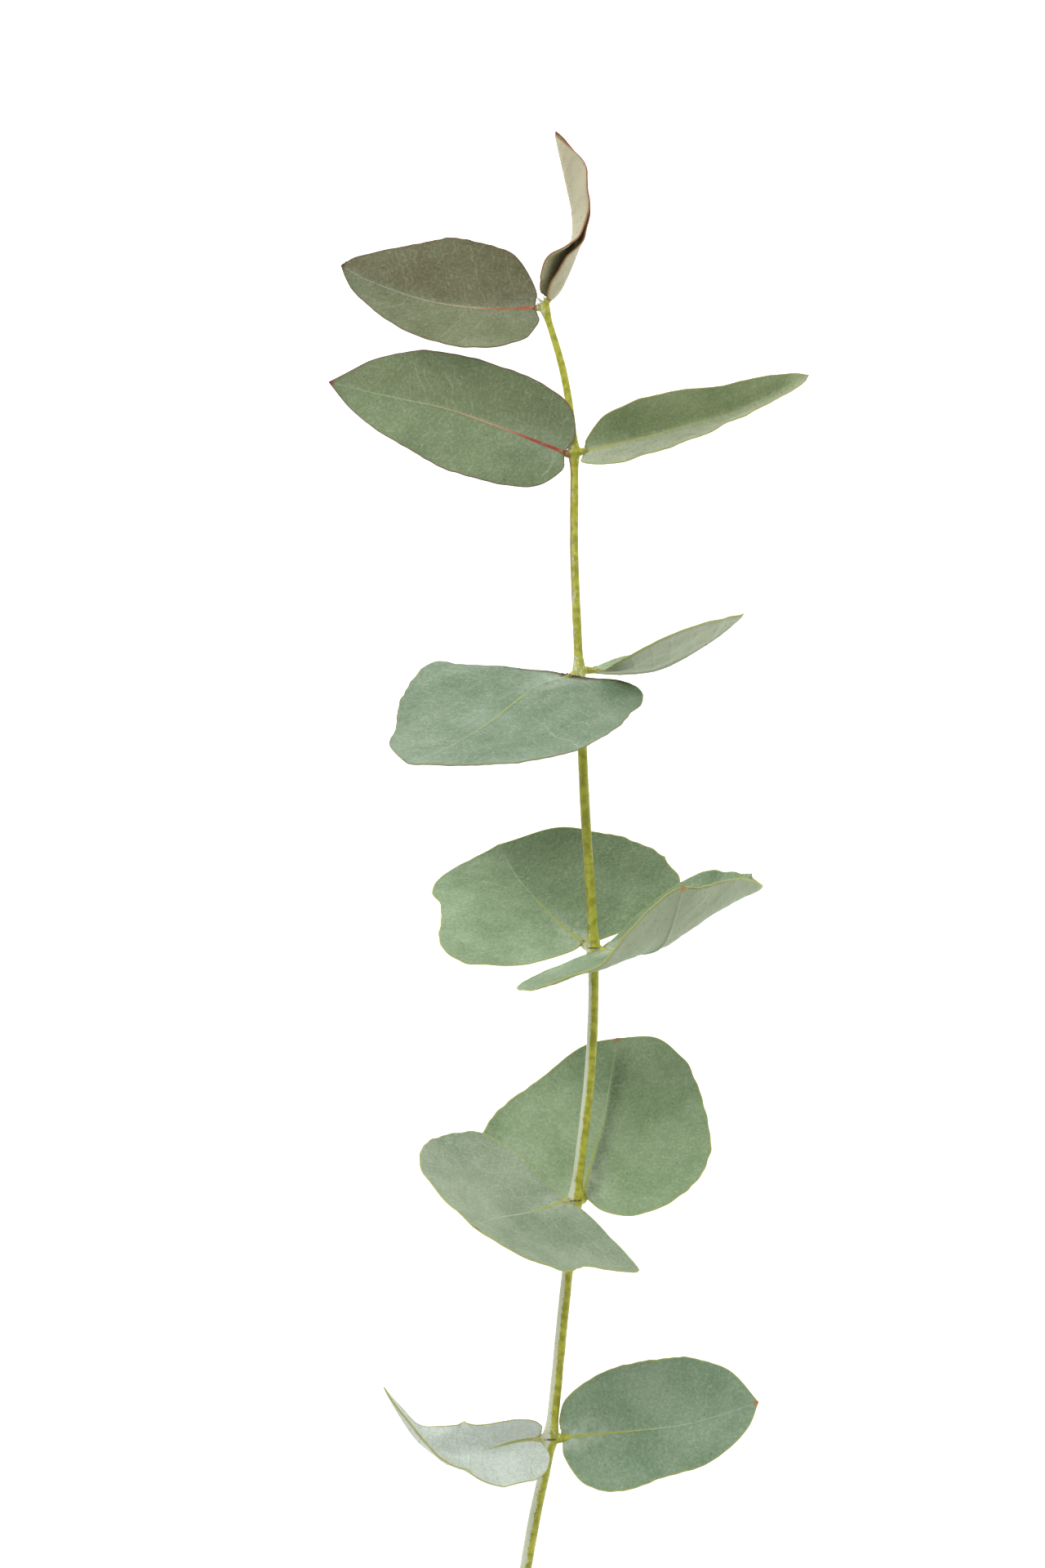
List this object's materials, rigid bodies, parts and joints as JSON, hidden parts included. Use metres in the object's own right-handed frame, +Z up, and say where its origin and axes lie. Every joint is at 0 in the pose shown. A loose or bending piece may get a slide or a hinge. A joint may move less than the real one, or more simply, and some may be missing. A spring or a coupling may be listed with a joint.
{
  "type": "eucalyptus branch",
  "caption": "Cut branch of silver-leaved eucalyptus lying down, with pairs of rounded and oval leaves along a slender bowed stem.",
  "frame": {"origin": "middle of the branch's footprint, on the surface that it lies on", "axes": "+Y runs up the branch from the cut end to the tip, +X is to the right with the tip up, +Z is up from the surface"},
  "size_m": [0.0958, 0.2911, 0.0541],
  "materials": {
    "stem": "green bark with a pale waxy bloom",
    "leaf": "matt, waxy",
    "young_leaf": "matt, waxy"
  },
  "bodies": {
    "root": {"stem": "stem", "leaf_1_left": "young_leaf", "leaf_1_right": "young_leaf", "leaf_2_left": "young_leaf", "leaf_2_right": "young_leaf", "leaf_3_left": "leaf", "leaf_3_right": "leaf", "leaf_4_left": "leaf", "leaf_4_right": "leaf", "leaf_5_left": "leaf", "leaf_5_right": "leaf", "leaf_6_left": "leaf", "leaf_6_right": "leaf"}
  },
  "joints": []
}
